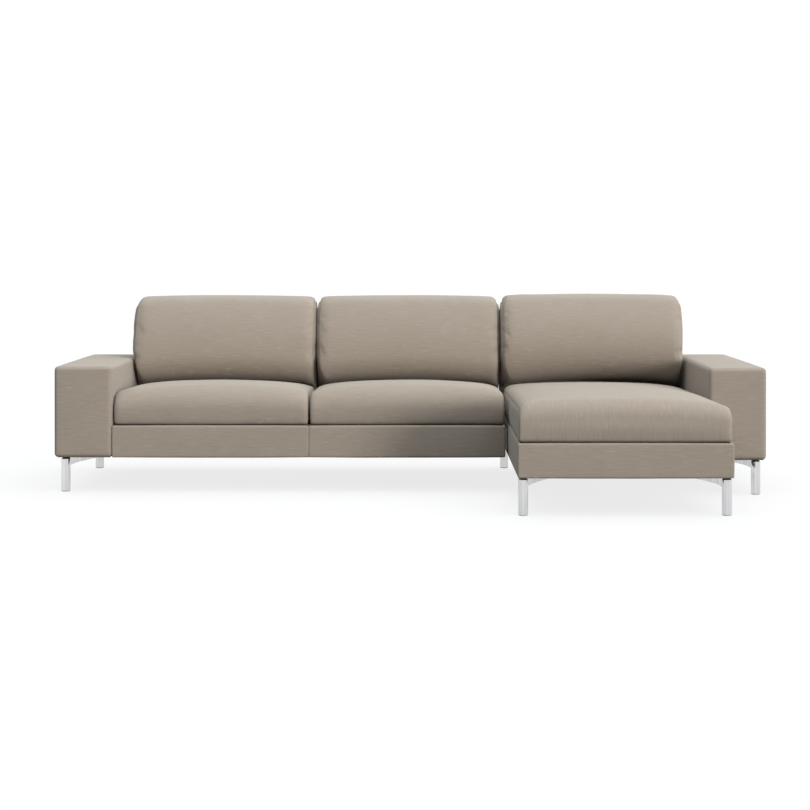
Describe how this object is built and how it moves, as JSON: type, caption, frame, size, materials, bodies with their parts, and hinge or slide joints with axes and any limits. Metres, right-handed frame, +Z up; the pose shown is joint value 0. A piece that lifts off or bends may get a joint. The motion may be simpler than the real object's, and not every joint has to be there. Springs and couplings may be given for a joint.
{
  "type": "corner sofa",
  "caption": "Corner sofa: a seat module and a chaise on the sitter's left, box arms, loose seat and back cushions, chromed round legs with wing brackets.",
  "frame": {"origin": "on the floor, in the middle of the whole sofa's width and depth", "axes": "+X to the right as one looks at the sofa's front (the chaise's side), +Y to its back, +Z up"},
  "size_m": [3.054, 1.625, 0.8363],
  "materials": {
    "cushion_fabric": "matte",
    "cover_fabric": "matte",
    "panel_fabric": "matte",
    "firm_foam": "matte",
    "deck_cloth": "matte",
    "elastic_webbing": "matte",
    "hardboard": "matte",
    "plywood": "matte",
    "pine": "matte",
    "polished_chrome": "polished",
    "black_plastic": "satin",
    "glide_plastic": "matte",
    "dust_cloth": "matte",
    "plated_steel": "satin"
  },
  "bodies": {
    "sofa": {"chaise_back_board": "hardboard", "chaise_back_cover": "cover_fabric", "chaise_back_padding": "firm_foam", "chaise_back_posts": "pine", "chaise_back_top_rail": "pine", "chaise_corner_blocks": "pine", "chaise_cross_rails": "pine", "chaise_deck_pad": "deck_cloth", "chaise_front_panel": "panel_fabric", "chaise_front_rail": "pine", "chaise_left_panel": "panel_fabric", "chaise_legs": "polished_chrome", "chaise_rear_panel": "panel_fabric", "chaise_rear_rail": "pine", "chaise_right_panel": "panel_fabric", "chaise_seat_rail": "pine", "chaise_side_rails": "pine", "chaise_webbing": "elastic_webbing", "connector_sockets": "plated_steel", "connector_tongues": "plated_steel", "dust_covers": "dust_cloth", "joint_plates": "plated_steel", "left_arm_cover": "cover_fabric", "left_arm_frame": "plywood", "left_arm_legs": "polished_chrome", "left_arm_padding": "firm_foam", "left_front_panel": "panel_fabric", "leg_collars": "black_plastic", "leg_glides": "glide_plastic", "middle_front_panel": "panel_fabric", "right_arm_cover": "cover_fabric", "right_arm_frame": "plywood", "right_arm_legs": "polished_chrome", "right_arm_padding": "firm_foam", "sofa_back_board": "hardboard", "sofa_back_cover": "cover_fabric", "sofa_back_padding": "firm_foam", "sofa_back_posts": "pine", "sofa_back_top_rail": "pine", "sofa_centre_rail": "pine", "sofa_corner_blocks": "pine", "sofa_deck_pad": "deck_cloth", "sofa_end_panel": "panel_fabric", "sofa_front_rail": "pine", "sofa_rear_panel": "panel_fabric", "sofa_rear_rail": "pine", "sofa_seat_rail": "pine", "sofa_side_rails": "pine", "sofa_webbing": "elastic_webbing"},
    "left_seat": {"left_seat_cushion": "cushion_fabric"},
    "middle_seat": {"middle_seat_cushion": "cushion_fabric"},
    "chaise_seat": {"chaise_seat_cushion": "cushion_fabric"},
    "left_back": {"left_back_cushion": "cushion_fabric"},
    "middle_back": {"middle_back_cushion": "cushion_fabric"},
    "chaise_back": {"chaise_back_cushion": "cushion_fabric"}
  },
  "joints": [
    {"name": "left_seat_lift", "type": "slide", "parent": "sofa", "child": "left_seat", "axis": [0, 0, 1], "range_m": [0, 0.3]},
    {"name": "middle_seat_lift", "type": "slide", "parent": "sofa", "child": "middle_seat", "axis": [0, 0, 1], "range_m": [0, 0.3]},
    {"name": "chaise_seat_lift", "type": "slide", "parent": "sofa", "child": "chaise_seat", "axis": [0, 0, 1], "range_m": [0, 0.3]},
    {"name": "left_back_lift", "type": "slide", "parent": "sofa", "child": "left_back", "axis": [0, 0, 1], "range_m": [0, 0.3]},
    {"name": "middle_back_lift", "type": "slide", "parent": "sofa", "child": "middle_back", "axis": [0, 0, 1], "range_m": [0, 0.3]},
    {"name": "chaise_back_lift", "type": "slide", "parent": "sofa", "child": "chaise_back", "axis": [0, 0, 1], "range_m": [0, 0.3]}
  ]
}
